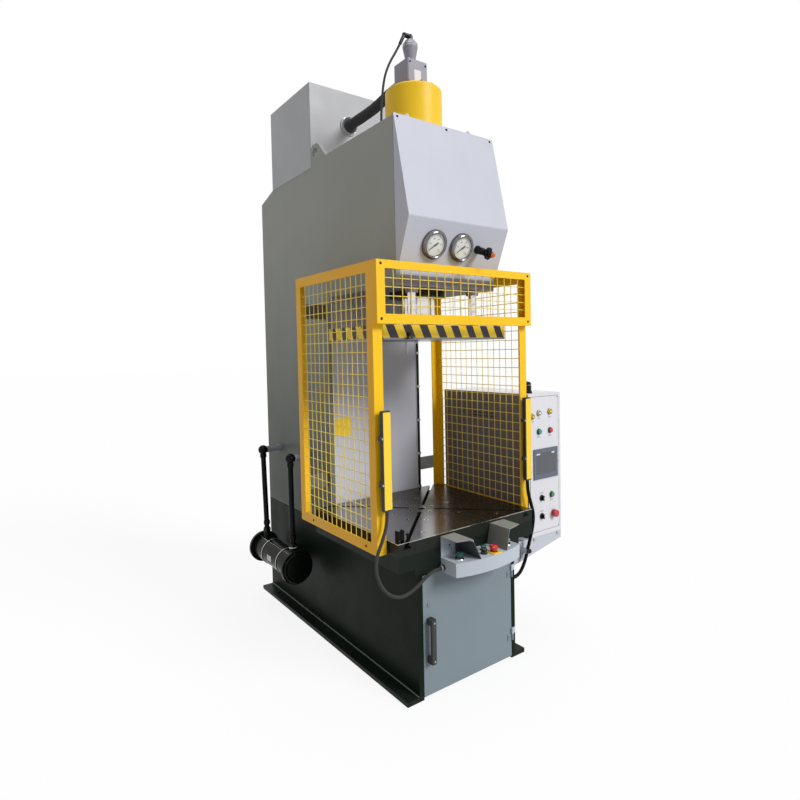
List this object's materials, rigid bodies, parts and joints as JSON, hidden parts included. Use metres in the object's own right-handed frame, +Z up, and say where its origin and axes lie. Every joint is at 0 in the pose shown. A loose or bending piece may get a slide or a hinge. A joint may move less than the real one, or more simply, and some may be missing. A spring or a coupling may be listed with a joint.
{
  "type": "hydraulic c-frame press",
  "caption": "Hydraulic C-frame press with guard cage, light curtains, bowed two-hand console, side control cabinet and oil tank on top.",
  "frame": {"origin": "on the floor, straight below the ram axis and the centre of the table", "axes": "+X to the operator's right, +Y to the back of the machine, +Z up"},
  "size_m": [1.3662, 1.827, 3.299],
  "materials": {
    "frame_grey": "satin baked paint",
    "lower_dark": "satin baked paint",
    "door_grey": "satin baked paint",
    "tank_grey": "satin baked paint",
    "cylinder_yellow": "satin baked paint",
    "guard_yellow": "satin baked paint",
    "cabinet_white": "fine textured powder coat",
    "console_grey": "fine textured powder coat",
    "ground_steel": "ground and oiled",
    "hard_chrome": "ground and polished",
    "zinc": "zinc plated",
    "black_oxide": "black oxide",
    "black_plastic": "fine grain",
    "gauge_case": "polished rim",
    "needle_black": "painted",
    "hose_rubber": "smooth cover",
    "conduit_grey": "ribbed",
    "screen_bezel": "fine grain",
    "red_plastic": "gloss",
    "green_plastic": "gloss",
    "teal_plastic": "gloss",
    "lamp_plastic": "translucent lens",
    "silver_button": "anodised",
    "cooler_paint": "satin baked paint",
    "pipe_steel": "satin baked paint",
    "motor_paint": "satin baked paint"
  },
  "bodies": {
    "press_frame": {"frame_sides": "frame_grey", "frame_webs": "frame_grey", "head_floor": "frame_grey", "base_plate": "lower_dark", "hood": "frame_grey", "panel_screws": "zinc", "oil_tank": "tank_grey", "tank_breather": "black_plastic", "suction_hose": "hose_rubber", "main_cylinder": "cylinder_yellow", "prefill_valve": "black_oxide", "pilot_elbow": "zinc", "pilot_hose": "hose_rubber", "gauges": "gauge_case", "relief_valve": "black_oxide", "bolster": "ground_steel", "bolster_box": "lower_dark", "fork_block": "black_oxide", "guard_left": "guard_yellow", "guard_right": "guard_yellow", "guard_front": "guard_yellow", "mesh_left": "guard_yellow", "mesh_right": "guard_yellow", "mesh_front": "guard_yellow", "brackets": "zinc", "light_curtains": "guard_yellow", "curtain_cable": "hose_rubber", "curtain_conduit": "conduit_grey", "console_box": "console_grey", "console_shrouds": "console_grey", "button_bezels": "black_plastic", "cabinet_shell": "cabinet_white", "cabinet_panel": "cabinet_white", "cabinet_gusset": "cabinet_white", "touch_screen": "screen_bezel", "indicator_lamps": "lamp_plastic", "oil_cooler": "cooler_paint", "cooler_pipes": "pipe_steel", "pump_motor": "motor_paint"},
    "ram": {"piston_rod": "hard_chrome", "slide_plate": "ground_steel", "guide_rods": "hard_chrome", "slide_sensor": "black_plastic"},
    "front_door": {"front_door": "door_grey", "door_handle": "black_plastic"},
    "cabinet_door": {"cabinet_door": "cabinet_white"},
    "relief_knob": {"relief_knob": "black_plastic"},
    "needle_left": {"needle_left": "needle_black"},
    "needle_right": {"needle_right": "needle_black"},
    "palm_left": {"palm_left": "green_plastic"},
    "palm_right": {"palm_right": "silver_button"},
    "console_button": {"console_button": "green_plastic"},
    "console_selector": {"console_selector": "black_plastic"},
    "console_estop": {"console_estop": "red_plastic"},
    "button_teal": {"button_teal": "teal_plastic"},
    "button_red": {"button_red": "red_plastic"},
    "button_green": {"button_green": "green_plastic"},
    "selector_upper": {"selector_upper": "black_plastic"},
    "selector_lower": {"selector_lower": "black_plastic"},
    "cabinet_estop": {"cabinet_estop": "red_plastic"}
  },
  "joints": [
    {"name": "ram_slide", "type": "slide", "parent": "press_frame", "child": "ram", "axis": [0, 0, -1], "range_m": [0, 0.45]},
    {"name": "front_door_hinge", "type": "hinge", "parent": "press_frame", "child": "front_door", "pos_m": [0.2935, -0.378, 0.3], "axis": [0, 0, 1], "range_deg": [0, 110]},
    {"name": "cabinet_door_hinge", "type": "hinge", "parent": "press_frame", "child": "cabinet_door", "pos_m": [0.7963, 0.41, 0.9], "axis": [0, 0, 1], "range_deg": [0, 120]},
    {"name": "relief_knob_turn", "type": "hinge", "parent": "press_frame", "child": "relief_knob", "pos_m": [0.141, -0.31657, 2.124], "axis": [0, -0.9272, -0.3745], "range_deg": [0, 180]},
    {"name": "needle_left_turn", "type": "hinge", "parent": "press_frame", "child": "needle_left", "pos_m": [-0.142, -0.31657, 2.124], "axis": [0, 0.9272, 0.3745], "range_deg": [0, 255], "stiffness_Nm_per_rad": 0.0006},
    {"name": "needle_right_turn", "type": "hinge", "parent": "press_frame", "child": "needle_right", "pos_m": [0.03, -0.31657, 2.124], "axis": [0, 0.9272, 0.3745], "range_deg": [0, 255], "stiffness_Nm_per_rad": 0.0006},
    {"name": "palm_left_push", "type": "slide", "parent": "press_frame", "child": "palm_left", "axis": [0, 0, -1], "range_m": [0, 0.005], "stiffness_N_per_m": 400},
    {"name": "palm_right_push", "type": "slide", "parent": "press_frame", "child": "palm_right", "axis": [0, 0, -1], "range_m": [0, 0.005], "stiffness_N_per_m": 400},
    {"name": "console_button_push", "type": "slide", "parent": "press_frame", "child": "console_button", "axis": [0, 0, -1], "range_m": [0, 0.003], "stiffness_N_per_m": 400},
    {"name": "console_selector_turn", "type": "hinge", "parent": "press_frame", "child": "console_selector", "pos_m": [-0.007, -0.484, 0.66], "axis": [0, 0, 1], "range_deg": [-45, 45]},
    {"name": "console_estop_push", "type": "slide", "parent": "press_frame", "child": "console_estop", "axis": [0, 0, -1], "range_m": [0, 0.005]},
    {"name": "button_teal_push", "type": "slide", "parent": "press_frame", "child": "button_teal", "axis": [0, 1, 0], "range_m": [0, 0.003], "stiffness_N_per_m": 400},
    {"name": "button_red_push", "type": "slide", "parent": "press_frame", "child": "button_red", "axis": [0, 1, 0], "range_m": [0, 0.003], "stiffness_N_per_m": 400},
    {"name": "button_green_push", "type": "slide", "parent": "press_frame", "child": "button_green", "axis": [0, 1, 0], "range_m": [0, 0.003], "stiffness_N_per_m": 400},
    {"name": "selector_upper_turn", "type": "hinge", "parent": "press_frame", "child": "selector_upper", "pos_m": [0.626, -0.303, 0.777], "axis": [0, -1, 0], "range_deg": [-45, 45]},
    {"name": "selector_lower_turn", "type": "hinge", "parent": "press_frame", "child": "selector_lower", "pos_m": [0.626, -0.303, 0.673], "axis": [0, -1, 0], "range_deg": [-45, 45]},
    {"name": "cabinet_estop_push", "type": "slide", "parent": "press_frame", "child": "cabinet_estop", "axis": [0, 1, 0], "range_m": [0, 0.005]}
  ]
}
